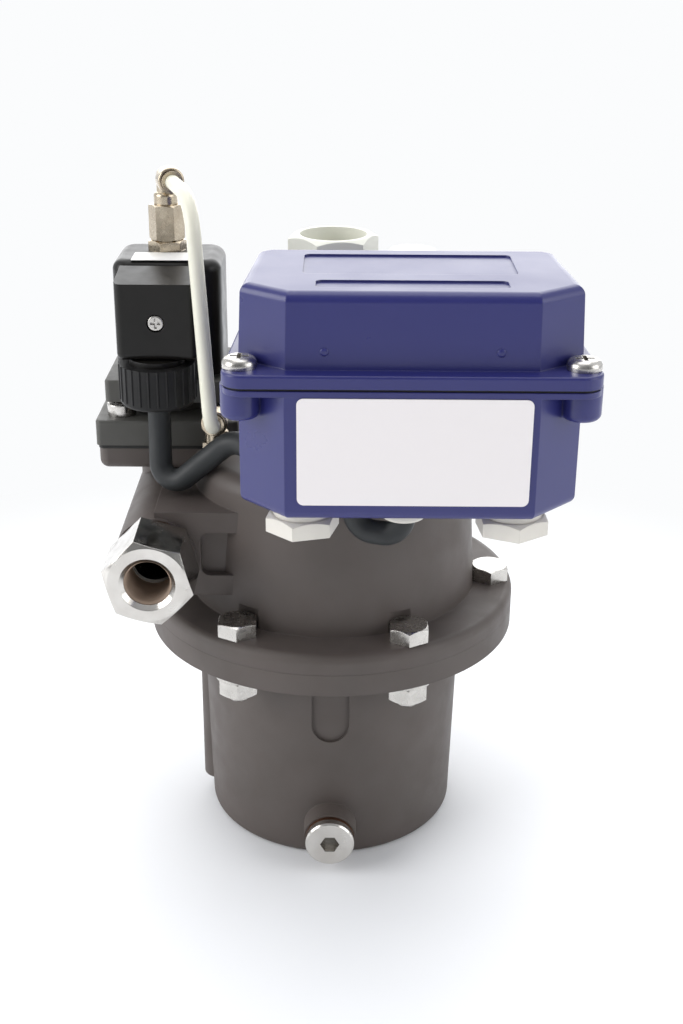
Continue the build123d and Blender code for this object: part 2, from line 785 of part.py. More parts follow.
def make_gland_nut():
    """The ribbed cap nut that grips the cable under the plug."""
    foot, top = gland_foot_z, gland_foot_z + gland_h
    nut = fillet(post(gland_r, foot, top).edges().sort_by(Axis.Z)[:1], 1.5)
    for i in range(gland_ribs):
        nut += Rot(0, 0, 360 / gland_ribs * i) * Pos(gland_r, 0, 0) * post(0.4, foot + 2, top)
    nut -= post(gland_neck_r + running_gap, foot + 4, top)
    nut -= post(cable_r + running_gap, foot, top)
    return Pos(gland_x, gland_y, 0) * nut


# ---------------------------------------------------------------- pilot line
def turned(yaw):
    """The level direction that a fitting faces, turned from -Y towards +X."""
    return (sin(radians(yaw)), -cos(radians(yaw)), 0)


def along(start, direction, distance):
    return tuple(p + d * distance for p, d in zip(start, direction))


elbow_centre = (valve_x, valve_y, elbow_z + elbow_rise)
elbow_mouth = along(elbow_centre, turned(elbow_yaw), elbow_reach)
port_centre = (port_x, port_y, port_z)
port_mouth = along(port_centre, turned(0), port_reach)


def make_elbow(centre, reach, yaw):
    """A push-in elbow: a stem with a domed collar, and a barrel that takes the tube."""
    foot = -elbow_rise
    stem = post(elbow_collar_r, foot, foot + elbow_collar_h)
    stem = fillet(stem.edges().sort_by(Axis.Z)[-1:], 1.5)
    stem += post(elbow_neck_r, foot + 1, 0)
    body = Pos(*centre) * (stem + Sphere(elbow_neck_r))
    body += bar(elbow_neck_r, reach - 5, centre, turned(yaw))
    barrel = bar(barrel_r, 6.0, along(centre, turned(yaw), reach - 6), turned(yaw))
    body += fillet(barrel.edges(), 0.7)
    body -= bar(port_bore_r, elbow_rise, along(centre, (0, 0, -1), elbow_rise), (0, 0, 1))
    body -= bar(port_bore_r, reach - 2, centre, turned(yaw))
    return body - line_socket(along(centre, turned(yaw), reach), turned(yaw))


def make_port_elbow():
    """The lower elbow, which screws into the head by its hexagon."""
    base = crowned_hexagon(port_hex_af, port_foot_z, port_foot_z + port_hex_h, 10, crown_foot=True)
    base -= post(port_bore_r, port_foot_z, port_foot_z + port_hex_h)
    return make_elbow(port_centre, port_reach, 0) + Pos(port_x, port_y, 0) * base


def line_socket(mouth, direction):
    """Room for the tube and its collet, cut back from a fitting's mouth."""
    back = tuple(-d for d in direction)
    tube_way = bar(line_r + line_gap, 6.0, mouth, back)
    collet_way = bar(collet_r - 0.6, 3.6, mouth, back)
    return tube_way + collet_way


def make_collet(mouth, direction):
    """The release ring round the tube; it is pushed in to free the tube."""
    back = tuple(-d for d in direction)
    lip = bar(collet_r, collet_h - collet_travel - 0.1, tuple(
        m + d * (collet_travel + 0.1) for m, d in zip(mouth, direction)), direction)
    sleeve = bar(collet_r - 0.6 - running_gap, collet_travel + 0.1 + 2.2, tuple(
        m + d * (collet_travel + 0.1) for m, d in zip(mouth, direction)), back)
    way = bar(line_r + line_gap, 12, tuple(m - d * 6 for m, d in zip(mouth, direction)), direction)
    return lip + sleeve - way


line_points = [
    along(elbow_mouth, turned(elbow_yaw), -5.9),
    along(elbow_mouth, turned(elbow_yaw), 32.8),
    along(port_mouth, turned(0), 10.4),
    along(port_mouth, turned(0), -5.9),
]
line_radii = [14.0, 8.0]


def make_rounded_tube(points, radii, radius):
    path = FilletPolyline(*points, radius=radii)
    section = Plane(origin=path @ 0, z_dir=path % 0) * Circle(radius)
    body = sweep(section, path=path)
    print(f"tube r {radius}: radii {radii}, length {path.length:.1f}, "
          f"volume over section {body.volume / (pi * radius ** 2):.1f}")
    return body


# ---------------------------------------------------------------- control box
def box_outline(front, back, face_w, full_w, chamfer_y, taper):
    """Plan of the control box: a flat face, splayed corners and sides that close inwards."""
    half = full_w / 2
    points = [(-face_w / 2, -front), (face_w / 2, -front), (half, -front + chamfer_y), (half - taper, -back),
              (-half + taper, -back), (-half, -front + chamfer_y)]
    return Pos(box_x, 0, 0) * make_face(Polyline(points, close=True))


def base_outline(inset=0.0):
    return offset(box_outline(box_front, box_back, box_face_w, box_w, box_chamfer, box_taper),
                  -inset, kind=Kind.INTERSECTION) if inset else box_outline(
        box_front, box_back, box_face_w, box_w, box_chamfer, box_taper)


def rim_outline(inset=0.0):
    half = rim_w / 2 - inset
    front, back = rim_front - inset, rim_back + inset
    points = [(-half, -front), (half, -front), (half - box_taper, -back), (-half + box_taper, -back)]
    shape = make_face(Polyline(points, close=True))
    return Pos(box_x, 0, 0) * fillet(shape.vertices(), rim_corner_r - inset)


def dome_outline(level):
    """Plan of the raised dome; level 0 is its foot and level 1 its top."""
    front = dome_front - dome_draft * level
    back = dome_back - dome_back_draft * (1 - level)
    half = box_w / 2 - dome_draft * level
    face = box_face_w / 2 - dome_face_inset - 0.4 * level
    side_back = half - box_taper + 1.2
    corner = dome_back_chamfer + (dome_back_corner - dome_back_chamfer) * level
    points = [(-face, -front), (face, -front), (half, -front + dome_chamfer), (side_back, -back - corner),
              (side_back - corner, -back), (-side_back + corner, -back),
              (-side_back, -back - corner), (-half, -front + dome_chamfer)]
    return Pos(box_x, 0, 0) * make_face(Polyline(points, close=True))


def lid_screw_places():
    """Centres of the four lid screws in the rim's corners."""
    half = rim_w / 2 - lid_screw_inset_x
    front = -rim_front + lid_screw_inset_y
    back = -rim_back - lid_screw_inset_back
    return [(box_x + sx * half, front) for sx in (-1, 1)] + [
        (box_x + sx * (half - box_taper + 0.8), back) for sx in (-1, 1)]


def make_control_base():
    body = Pos(0, 0, box_floor_z) * extrude(base_outline(), seam_z - box_floor_z)
    body = fillet(body.edges().group_by(Axis.Z)[0], box_edge)
    for x, y in lid_screw_places():
        boss = fillet(post(lid_boss_r, seam_z - lid_boss_h, seam_z).edges().sort_by(Axis.Z)[:1], 2)
        body += Pos(x, y, 0) * boss
    body += Pos(0, 0, seam_z - lip_h) * extrude(rim_outline(0.4), lip_h)
    cavity = Pos(0, 0, box_floor_z + box_wall) * extrude(
        base_outline(box_wall), seam_z - box_floor_z - box_wall)
    for x, y in lid_screw_places():
        cavity -= Pos(x, y, 0) * post(lid_boss_r - 0.5, box_floor_z, seam_z)
    body -= cavity
    for x, y in board_pillars():
        body += Pos(x, y, 0) * post(pillar_r, box_floor_z + 1, board_z)
    for x, y in lid_screw_places():
        body -= Pos(x, y, 0) * post(lid_screw_shank_r + running_gap, seam_z - 9, seam_z)
    openings = [(Pos(box_x + side, blank_y, 0), blank_thread_r) for side in (-blank_x, blank_x)]
    openings += [(Pos(box_x, entry_y, 0), entry_thread_r), (Pos(probe_x, probe_y, 0), probe_body_r)]
    openings += [(place, box_screw_r) for place in box_screw_places()]
    for place, r in openings:
        body -= place * post(r + running_gap, box_floor_z, box_floor_z + box_wall)
    return body


def board_pillars():
    pitches = board_w - 2 * pillar_inset_x, board_d - 2 * pillar_inset_y
    return [(box_x + x, board_y + y) for x, y in corners(*pitches)]


def make_control_lid():
    rim = Pos(0, 0, lid_z) * extrude(rim_outline(), rim_h)
    rim = fillet(rim.edges().group_by(Axis.Z)[-1], 0.8)
    dome_foot = Pos(0, 0, rim_top_z - 1) * dome_outline(0)
    dome = loft(Sketch() + [dome_foot, Pos(0, 0, dome_top_z) * dome_outline(1)])
    dome = fillet(dome.edges().group_by(Axis.Z)[-1], dome_edge)
    hollow_foot = Pos(0, 0, lid_z) * offset(dome_outline(0), -box_wall, kind=Kind.INTERSECTION)
    hollow_top = Pos(0, 0, dome_top_z - box_wall) * offset(dome_outline(1), -box_wall, kind=Kind.INTERSECTION)
    body = rim + dome - loft(Sketch() + [hollow_foot, hollow_top])
    for x, y in lid_screw_places():
        body -= Pos(x, y, 0) * post(lid_screw_shank_r + 0.3, lid_z, rim_top_z)
    panel_y = -dome_back - panel_margin_back - panel_d / 2
    field_y = panel_y - panel_d / 2 - field_gap - field_d / 2
    for y, margin, depth in ((panel_y, panel_margin_x, panel_d), (field_y, field_margin_x, field_d)):
        recess = RectangleRounded(box_w - 2 * margin, depth, 2)
        body -= Pos(box_x, y, dome_top_z - panel_depth) * extrude(recess, panel_depth)
    return body


def make_lid_gasket():
    sheet = Pos(0, 0, seam_z) * extrude(rim_outline(gasket_inset), gasket_h)
    sheet -= Pos(0, 0, seam_z) * extrude(base_outline(box_wall), gasket_h)
    for x, y in lid_screw_places():
        sheet -= Pos(x, y, 0) * post(lid_screw_shank_r + soft_gap, seam_z, lid_z)
    return sheet


def make_lid_screw():
    head = fillet(post(lid_screw_r, rim_top_z, rim_top_z + lid_screw_head_h).edges().sort_by(Axis.Z)[-1:], 2.2)
    slot = Box(1.2, 5.4, 3) + Box(5.4, 1.2, 3)
    head -= Pos(0, 0, rim_top_z + lid_screw_head_h) * slot
    return head + post(lid_screw_shank_r, seam_z - 8, rim_top_z)


def make_blanking_plug(turn):
    collar_z = box_floor_z - blank_collar_h
    plug = crowned_hexagon(blank_af, collar_z - blank_h, collar_z, turn)
    return plug + post(blank_thread_r, collar_z, box_floor_z + blank_inner)


def make_blanking_seal():
    return ring(blank_collar_r, blank_thread_r + running_gap, box_floor_z - blank_collar_h, box_floor_z)


def make_cable_entry():
    """The round-nosed gland that the cable turns up into."""
    collar_z = box_floor_z - entry_hex_h
    body = fillet(post(entry_r, entry_foot_z, collar_z).edges().sort_by(Axis.Z)[:1], 1.5)
    body += hexagon(entry_hex_af, collar_z, box_floor_z, 10)
    body += post(entry_thread_r, box_floor_z, box_floor_z + probe_rise)
    body -= post(cable_r + running_gap, entry_foot_z, entry_foot_z + entry_grip)
    return Pos(box_x, entry_y, 0) * (body - post(2.5, entry_foot_z, box_floor_z + probe_rise))


# ---------------------------------------------------------------- probe and electronics
def make_box_gasket():
    sheet = make_box_seat() & Pos(0, 0, seat_top_z - box_gasket_h) * Box(
        200, 200, box_gasket_h, align=(Align.CENTER, Align.CENTER, Align.MIN))
    sheet = Pos(0, 0, box_gasket_h) * sheet
    holes = [(Pos(probe_x, probe_y, 0), probe_body_r)]
    holes += [(place, box_screw_r) for place in box_screw_places()]
    for place, r in holes:
        sheet -= place * post(r + running_gap, seat_top_z, box_floor_z)
    return sheet


def make_box_screw():
    floor = box_floor_z + box_wall
    head = fillet(post(box_screw_head_r, floor, floor + box_screw_head_h).edges().sort_by(Axis.Z)[-1:], 1.2)
    return head + post(box_screw_r, seat_top_z - box_screw_len + 1, floor)


def make_label_plate():
    """The blank rating plate on the front of the control box."""
    plate = RectangleRounded(label_w, label_h, 2)
    return frontward(extrude(plate, label_t), label_x, -box_front, box_floor_z + label_rise)


def make_probe_body():
    """The threaded body that seals the probe in the head and clamps the control box."""
    low_z = probe_top_z - probe_body_len
    body = post(probe_body_r, low_z, probe_top_z)
    return Pos(probe_x, probe_y, 0) * (body - post(probe_sleeve_r, low_z, probe_top_z))


def make_probe_nut():
    low_z = box_floor_z + box_wall
    nut = crowned_hexagon(probe_hex_af, low_z, low_z + probe_nut_h, 0)
    return Pos(probe_x, probe_y, 0) * (nut - post(probe_body_r + running_gap, low_z, low_z + probe_nut_h))


def make_probe_sleeve():
    sleeve = post(probe_sleeve_r, probe_foot_z, probe_top_z)
    sleeve = fillet(sleeve.edges().sort_by(Axis.Z)[:1], 2)
    return Pos(probe_x, probe_y, 0) * (sleeve - post(probe_rod_r, probe_foot_z + 4, probe_top_z))


def make_probe_rod():
    return Pos(probe_x, probe_y, 0) * post(probe_rod_r, probe_foot_z + 4, probe_top_z + probe_rod_out)


def make_circuit_board():
    board = Pos(box_x, board_y, board_z) * Box(
        board_w, board_d, board_h, align=(Align.CENTER, Align.CENTER, Align.MIN))
    for x, y in board_pillars():
        board -= Pos(x, y, 0) * post(1.6, board_z, board_z + board_h)
    return board


def make_board_screw():
    top_z = board_z + board_h
    return post(2.7, top_z, top_z + 1.8) + post(1.5, board_z, top_z)


def make_terminal_block():
    z = board_z + board_h
    block = Pos(box_x, -box_front + terminal_inset, z) * Box(
        terminal_w, terminal_d, terminal_h, align=(Align.CENTER, Align.CENTER, Align.MIN))
    for i in range(8):
        x = box_x - terminal_w / 2 + terminal_w / 8 * (i + 0.5)
        block -= Pos(x, -box_front + terminal_inset + 2, 0) * post(1.7, z + terminal_h - 4, z + terminal_h)
    return block


# ---------------------------------------------------------------- the assembly
def group(shapes):
    """Identical loose pieces as one node of separate solids."""
    return Compound(children=[s for shape in shapes for s in shape.solids()])


screw_places = [valve_axis * Pos(x, y, 0) for x, y in corners(cover_screw_pitch)]
lid_places = [Pos(x, y, 0) for x, y in lid_screw_places()]
pillar_places = [Pos(x, y, 0) for x, y in board_pillars()]
blank_places = [(Pos(box_x - blank_x, blank_y, 0), 16 + 60), (Pos(box_x + blank_x, blank_y, 0), 36 + 60)]

parts = {
    "cup": make_cup(),
    "flange_ring": make_flange_ring(),
    "flange_bolts": group([place * make_flange_bolt() for place in bolt_places()]),
    "flange_washers": group([place * make_flange_washer() for place in bolt_places()]),
    "flange_nuts": group([place * make_flange_nut() for place in bolt_places()]),
    "drain_plug": make_drain_plug(),
    "drain_plug_seal": make_drain_seal(),
    "head_casting": make_head(),
    "outlet_bush": make_outlet_bush(),
    "outlet_seal": make_outlet_seal(),
    "inlet_plug": make_inlet_plug(),
    "vent_plug": make_vent_plug(),
    "diaphragm": make_diaphragm(),
    "valve_disc": make_valve_disc(),
    "valve_spring": make_valve_spring(),
    "valve_cover": make_valve_cover(),
    "cover_screws": group([place * make_cover_screw() for place in screw_places]),
    "pilot_base": make_pilot_base(),
    "guide_tube": make_guide_tube(),
    "armature": make_armature(),
    "armature_spring": make_armature_spring(),
    "coil": make_coil(),
    "coil_nut": make_coil_nut(),
    "riser": make_riser(),
    "plug_gasket": make_plug_gasket(),
    "plug_housing": make_plug_housing(),
    "plug_insert": make_plug_insert(),
    "plug_screw": make_plug_screw(),
    "gland_nut": make_gland_nut(),
    "elbow": make_elbow(elbow_centre, elbow_reach, elbow_yaw),
    "elbow_collet": make_collet(elbow_mouth, turned(elbow_yaw)),
    "port_elbow": make_port_elbow(),
    "port_collet": make_collet(port_mouth, turned(0)),
    "pilot_line": make_rounded_tube(line_points, line_radii, line_r),
    "cable": make_rounded_tube(cable_points, cable_radii, cable_r),
    "control_base": make_control_base(),
    "lid_gasket": make_lid_gasket(),
    "control_lid": make_control_lid(),
    "lid_screws": group([place * make_lid_screw() for place in lid_places]),
    "blanking_plugs": group([place * make_blanking_plug(turn) for place, turn in blank_places]),
    "blanking_seals": group([place * make_blanking_seal() for place, _ in blank_places]),
    "cable_entry": make_cable_entry(),
    "label_plate": make_label_plate(),
    "box_gasket": make_box_gasket(),
    "box_screws": group([place * make_box_screw() for place in box_screw_places()]),
    "probe_body": make_probe_body(),
    "probe_nut": make_probe_nut(),
    "probe_sleeve": make_probe_sleeve(),
    "probe_rod": make_probe_rod(),
    "circuit_board": make_circuit_board(),
    "board_screws": group([place * make_board_screw() for place in pillar_places]),
    "terminal_block": make_terminal_block(),
}

os.makedirs("parts", exist_ok=True)
for name, shape in parts.items():
    export_step(shape, f"parts/{name}.step")
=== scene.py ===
"""Dresses the automatic drain valve: finishes for every solid, and the small detail that rides on them."""
import logging
import math
from dataclasses import dataclass, field
from enum import Enum
from typing import Dict, Optional, Tuple

import bmesh
import bpy
from mathutils import Matrix, Vector


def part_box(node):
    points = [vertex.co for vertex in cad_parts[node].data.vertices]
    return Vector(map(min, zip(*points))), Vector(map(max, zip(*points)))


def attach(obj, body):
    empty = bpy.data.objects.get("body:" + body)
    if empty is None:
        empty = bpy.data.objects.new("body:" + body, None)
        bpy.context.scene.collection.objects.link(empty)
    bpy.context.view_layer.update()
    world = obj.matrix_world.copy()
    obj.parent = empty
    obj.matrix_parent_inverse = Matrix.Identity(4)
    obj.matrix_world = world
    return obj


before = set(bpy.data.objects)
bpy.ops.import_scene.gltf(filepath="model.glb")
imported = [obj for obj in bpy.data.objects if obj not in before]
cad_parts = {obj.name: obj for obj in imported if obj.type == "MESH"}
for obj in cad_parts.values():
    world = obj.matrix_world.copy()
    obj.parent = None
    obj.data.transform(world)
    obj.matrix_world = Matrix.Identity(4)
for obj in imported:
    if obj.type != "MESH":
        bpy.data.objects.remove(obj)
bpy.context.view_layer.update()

log = logging.getLogger("drain_valve")
MM = 0.001
BEVEL_ABOVE_DEG = 30
SMOOTH_BELOW_DEG = 35
Point = Tuple[float, float, float]


# ------------------------------------------------------------------ colour and node helpers
def srgb(hex_code: str) -> Tuple[float, float, float, float]:
    """Turns an sRGB hex colour into linear light.

    Args:
        hex_code: Six hex digits with a leading hash.

    Returns:
        The linear red, green, blue and an alpha of 1.
    """
    values = [int(hex_code[i:i + 2], 16) / 255 for i in (1, 3, 5)]
    linear = [v / 12.92 if v <= 0.04045 else ((v + 0.055) / 1.055) ** 2.4 for v in values]
    return (linear[0], linear[1], linear[2], 1.0)


def add_node(tree: bpy.types.NodeTree, kind: str, links: Optional[Dict[str, bpy.types.NodeSocket]] = None,
             **values: object) -> bpy.types.Node:
    """Adds one shader node, links its inputs and sets its values.

    Args:
        tree: The node tree that gets the node.
        kind: The node's type name, without the ShaderNode prefix.
        links: Input name to the socket that feeds it.
        values: Node properties, or input values where the name is an input with underscores for spaces.

    Returns:
        The new node.
    """
    node = tree.nodes.new("ShaderNode" + kind)
    for name, value in values.items():
        socket = node.inputs.get(name.replace("_", " "))
        if socket is not None:
            socket.default_value = value
        else:
            setattr(node, name, value)
    for name, source in (links or {}).items():
        tree.links.new(source, node.inputs[int(name) if name.isdigit() else name])
    return node


class Wear(Enum):
    """How the surface of a finish was left."""

    SAND_CAST = "sand cast"
    MOULDED = "moulded"
    TURNED = "turned"
    EXTRUDED = "extruded"
    PRINTED = "printed"


@dataclass(frozen=True)
class Finish:
    """One real surface: its colour, gloss and the grain that its making leaves.

    Grain sizes are in millimetres, and the bump height is the grain's depth in millimetres.
    """

    name: str
    colour: str
    second_colour: str
    roughness: float
    metallic: float = 0.0
    ior: float = 1.5
    grain_mm: float = 1.0
    grain_height_mm: float = 0.03
    patch_mm: float = 25.0
    patch_amount: float = 0.5
    roughness_spread: float = 0.08
    edge_mm: float = 0.3
    specular: float = 0.5
    wear: Wear = Wear.MOULDED

    def material(self) -> bpy.types.Material:
        """Builds the finish once and returns it on every later call."""
        made = bpy.data.materials.get(self.name)
        if made is not None:
            return made
        made = bpy.data.materials.new(self.name)
        made.use_nodes = True
        tree = made.node_tree
        shader = tree.nodes["Principled BSDF"]
        shader.inputs["Metallic"].default_value = self.metallic
        if not self.metallic:
            shader.inputs["IOR"].default_value = self.ior
        shader.inputs["Specular IOR Level"].default_value = self.specular
        place = add_node(tree, "TexCoord").outputs["Object"]
        tree.links.new(self._colour(tree, place), shader.inputs["Base Color"])
        tree.links.new(self._roughness(tree, place), shader.inputs["Roughness"])
        tree.links.new(self._normal(tree, place), shader.inputs["Normal"])
        return made

    def _colour(self, tree: bpy.types.NodeTree, place: bpy.types.NodeSocket) -> bpy.types.NodeSocket:
        """Two tones of the same surface, in soft patches.

        Args:
            tree: The material's node tree.
            place: Object coordinates.

        Returns:
            The colour socket.
        """
        patches = add_node(tree, "TexNoise", {"Vector": place}, Scale=1000 / self.patch_mm, Detail=4.0)
        spread = add_node(tree, "MapRange", {"Value": patches.outputs["Fac"]}, From_Min=0.35, From_Max=0.65,
                          To_Min=0.0, To_Max=self.patch_amount)
        mix = add_node(tree, "Mix", data_type="RGBA")
        mix.inputs[6].default_value = srgb(self.colour)
        mix.inputs[7].default_value = srgb(self.second_colour)
        tree.links.new(spread.outputs["Result"], mix.inputs[0])
        return mix.outputs[2]

    def _roughness(self, tree: bpy.types.NodeTree, place: bpy.types.NodeSocket) -> bpy.types.NodeSocket:
        """Gloss that drifts a little over the surface.

        Args:
            tree: The material's node tree.
            place: Object coordinates.

        Returns:
            The roughness socket.
        """
        drift = add_node(tree, "TexNoise", {"Vector": place}, Scale=2500 / self.patch_mm, Detail=6.0)
        spread = add_node(tree, "MapRange", {"Value": drift.outputs["Fac"]}, From_Min=0.3, From_Max=0.7,
                          To_Min=self.roughness - self.roughness_spread,
                          To_Max=self.roughness + self.roughness_spread)
        return spread.outputs["Result"]

    def _normal(self, tree: bpy.types.NodeTree, place: bpy.types.NodeSocket) -> bpy.types.NodeSocket:
        """The grain of the surface on top of softly broken edges.

        Args:
            tree: The material's node tree.
            place: Object coordinates.

        Returns:
            The normal socket.
        """
        edges = add_node(tree, "Bevel", samples=6, Radius=self.edge_mm * MM)
        if self.wear is Wear.TURNED:
            grain = add_node(tree, "TexNoise", {"Vector": place}, Scale=1000 / self.grain_mm, Detail=2.0)
        else:
            grain = add_node(tree, "TexNoise", {"Vector": place}, Scale=1000 / self.grain_mm, Detail=5.0,
                             Roughness=0.6)
        bump = add_node(tree, "Bump", {"Height": grain.outputs["Fac"], "Normal": edges.outputs["Normal"]},
                        Strength=0.6, Distance=self.grain_height_mm * MM)
        return bump.outputs["Normal"]


# Gravity-cast aluminium with a dark matte coat: warm grey, even, with a fine pebbled skin.
CAST_ALUMINIUM = Finish("cast_aluminium_coated", "#544c48", "#4a4440", 0.56, ior=1.5, grain_mm=0.9,
                        grain_height_mm=0.05, patch_mm=28, wear=Wear.SAND_CAST, edge_mm=0.5)
# The valve's cast covers have the same coat, a shade cooler and smoother.
COATED_VALVE = Finish("valve_cover_coated", "#504f4b", "#454440", 0.52, grain_mm=0.8, grain_height_mm=0.035,
                      patch_mm=18, wear=Wear.SAND_CAST, edge_mm=0.4)
# Cold-headed A2 stainless fasteners: bright grey with faint drawing marks.
STAINLESS = Finish("stainless_fastener", "#c9c6c1", "#aaa7a2", 0.26, metallic=1.0, grain_mm=0.5,
                   grain_height_mm=0.01, patch_mm=6, roughness_spread=0.1, wear=Wear.TURNED, edge_mm=0.25)
# Turned stainless hexagon bar: brighter, with tool marks on its ends.
MACHINED_STEEL = Finish("machined_stainless", "#d2cfca", "#b3aea8", 0.20, metallic=1.0, grain_mm=0.4,
                        grain_height_mm=0.008, patch_mm=9, roughness_spread=0.08, wear=Wear.TURNED,
                        edge_mm=0.3)
# Thread cut in the outlet bush: dull and not metallic, painted a pale brown that stands in for light
# reaching down to its root (painted light).
PAINTED_LIGHT_THREAD = Finish("thread_painted_light", "#a5907e", "#85705f", 0.55, metallic=0.0, grain_mm=0.6,
                        grain_height_mm=0.02, patch_mm=5, wear=Wear.TURNED, edge_mm=0.05)
# Nickel-plated brass: warm silver that has yellowed a little.
NICKEL_BRASS = Finish("nickel_plated_brass", "#c2b6a2", "#a3947f", 0.27, metallic=1.0, grain_mm=0.4,
                      grain_height_mm=0.008, patch_mm=5, roughness_spread=0.1, wear=Wear.TURNED,
                      edge_mm=0.2)
# Glass-filled polyamide, gloss black where the mould was polished.
BLACK_POLYAMIDE = Finish("black_polyamide", "#171614", "#1f1d1b", 0.34, ior=1.52, specular=0.25,
                         grain_mm=0.7, grain_height_mm=0.012, patch_mm=15, roughness_spread=0.06,
                         edge_mm=0.35)
# Ribbed gland nut in the same polyamide, left duller.
BLACK_GLAND = Finish("black_polyamide_dull", "#1b1b1b", "#232222", 0.45, ior=1.52, specular=0.22,
                     grain_mm=0.6, grain_height_mm=0.02, patch_mm=12, roughness_spread=0.06,
                     edge_mm=0.25)
# Pigmented polycarbonate enclosure: deep blue with a satin skin.
BLUE_POLYCARBONATE = Finish("blue_polycarbonate", "#2a2c6a", "#272863", 0.31, ior=1.55, specular=0.45,
                            grain_mm=0.6, grain_height_mm=0.01, patch_mm=60, roughness_spread=0.04,
                            edge_mm=0.5, patch_amount=0.4)
# Pale grey polyamide blanking plugs.
PALE_POLYAMIDE = Finish("pale_polyamide", "#dcd8cf", "#cfcac1", 0.42, ior=1.52, grain_mm=0.6,
                        grain_height_mm=0.01, patch_mm=14, edge_mm=0.35)
# Low-density polyethylene transport plugs: milky and soft-looking.
MILKY_POLYETHYLENE = Finish("milky_polyethylene", "#e4e4da", "#dadacd", 0.48, ior=1.51, grain_mm=0.8,
                            grain_height_mm=0.012, patch_mm=18, edge_mm=0.4)
# Rating film, left blank: pale pinkish grey with a satin laminate.
LABEL_FILM = Finish("label_film", "#d6cac6", "#d1c4c0", 0.33, ior=1.5, grain_mm=0.8, grain_height_mm=0.004,
                    patch_mm=30, edge_mm=0.15, wear=Wear.PRINTED)
# Translucent white polyamide tube, slightly yellowed.
TUBE_POLYAMIDE = Finish("tube_polyamide", "#e6e4d4", "#dcdac8", 0.36, ior=1.52, grain_mm=1.5,
                        grain_height_mm=0.008, patch_mm=20, edge_mm=0.1, wear=Wear.EXTRUDED)
# Sintered PTFE sleeve of the probe.
WHITE_PTFE = Finish("white_ptfe", "#ecebe7", "#e3e2dd", 0.5, ior=1.38, grain_mm=0.6, grain_height_mm=0.01,
                    patch_mm=12)
# Moulded nitrile rubber.
NITRILE = Finish("nitrile_rubber", "#191918", "#222120", 0.62, ior=1.52, grain_mm=0.5, grain_height_mm=0.02,
                 patch_mm=10)
# Annealed copper sealing washers, dulled to brown.
DULL_COPPER = Finish("dull_copper", "#7d5a45", "#5c4436", 0.42, metallic=1.0, grain_mm=0.4,
                     grain_height_mm=0.01, patch_mm=4, wear=Wear.TURNED, edge_mm=0.1)
# Extruded chloroprene cable sheath: dark grey with a soft sheen.
CABLE_SHEATH = Finish("chloroprene_sheath", "#2f3132", "#292b2c", 0.5, ior=1.52, specular=0.3, grain_mm=0.7,
                      grain_height_mm=0.02, patch_mm=16, wear=Wear.EXTRUDED, edge_mm=0.1)
# Epoxy-glass circuit board with green solder resist.
CIRCUIT_BOARD = Finish("circuit_board", "#1c5a33", "#174d2b", 0.35, ior=1.55, grain_mm=0.5,
                       grain_height_mm=0.01, patch_mm=6)
# Hard-drawn spring wire.
SPRING_STEEL = Finish("spring_steel", "#b5b3b0", "#989693", 0.3, metallic=1.0, grain_mm=0.3,
                      grain_height_mm=0.005, patch_mm=3, wear=Wear.TURNED, edge_mm=0.05)
# White printed film on the coil.
COIL_LABEL = Finish("coil_label_film", "#e9e8e6", "#dfdedb", 0.4, grain_mm=0.8, grain_height_mm=0.004,
                    patch_mm=10, edge_mm=0.1, wear=Wear.PRINTED)


# ------------------------------------------------------------------ mesh helpers
def bevel_edges(mesh: bmesh.types.BMesh, width: float, segments: int = 3) -> None:
    """Rounds every sharp edge.

    Args:
        mesh: The mesh to round.
        width: The bevel's width in metres.
        segments: The number of faces across the bevel.
    """
    limit = math.radians(BEVEL_ABOVE_DEG)
    sharp = [edge for edge in mesh.edges if edge.is_manifold and edge.calc_face_angle(0.0) > limit]
    bmesh.ops.bevel(mesh, geom=sharp, offset=width, segments=segments, profile=0.5, affect="EDGES",
                    clamp_overlap=True, material=-1)


def finish_piece(mesh: bmesh.types.BMesh, name: str, finish: Finish, body: str) -> bpy.types.Object:
    """Turns a mesh into a piece of the object that rides on a body.

    Args:
        mesh: The finished mesh, in metres and in place.
        name: The piece's name.
        finish: Its surface.
        body: The body that it rides on.

    Returns:
        The new object.
    """
    bmesh.ops.recalc_face_normals(mesh, faces=mesh.faces[:])
    data = bpy.data.meshes.new(name)
    mesh.to_mesh(data)
    mesh.free()
    piece = bpy.data.objects.new(name, data)
    bpy.context.scene.collection.objects.link(piece)
    data.materials.append(finish.material())
    data.polygons.foreach_set("use_smooth", [True] * len(data.polygons))
    data.set_sharp_from_angle(angle=math.radians(SMOOTH_BELOW_DEG))
    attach(piece, body)
    log.info("piece %s on %s", name, body)
    return piece


def plate(centre: Point, size: Point, edge: float) -> bmesh.types.BMesh:
    """A thin block with softened edges.

    Args:
        centre: Its middle, in metres.
        size: Its size along X, Y and Z, in metres.
        edge: The width of its bevel, in metres.

    Returns:
        The mesh.
    """
    mesh = bmesh.new()
    bmesh.ops.create_cube(mesh, size=1.0)
    bmesh.ops.scale(mesh, vec=size, verts=mesh.verts[:])
    bevel_edges(mesh, edge, 2)
    bmesh.ops.translate(mesh, vec=centre, verts=mesh.verts[:])
    return mesh


def dress(finishes: Dict[str, Finish]) -> None:
    """Gives CAD nodes their finishes.

    Args:
        finishes: Node name to finish.
    """
    for node, finish in finishes.items():
        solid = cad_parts[node]
        for material_slot in solid.material_slots:
            material_slot.material = finish.material()
        if not solid.material_slots:
            solid.data.materials.append(finish.material())
        log.info("dressed %s with %s", node, finish.name)


# ------------------------------------------------------------------ sub-assemblies
@dataclass
class SubAssembly:
    """A group of CAD nodes with their finishes, and the pieces added to them."""

    finishes: Dict[str, Finish] = field(default_factory=dict)

    def build(self) -> None:
        """Makes the pieces that ride on the solids; the plain sub-assembly has none."""

    def make(self) -> None:
        """Dresses the solids and builds the added pieces."""
        dress(self.finishes)
        self.build()


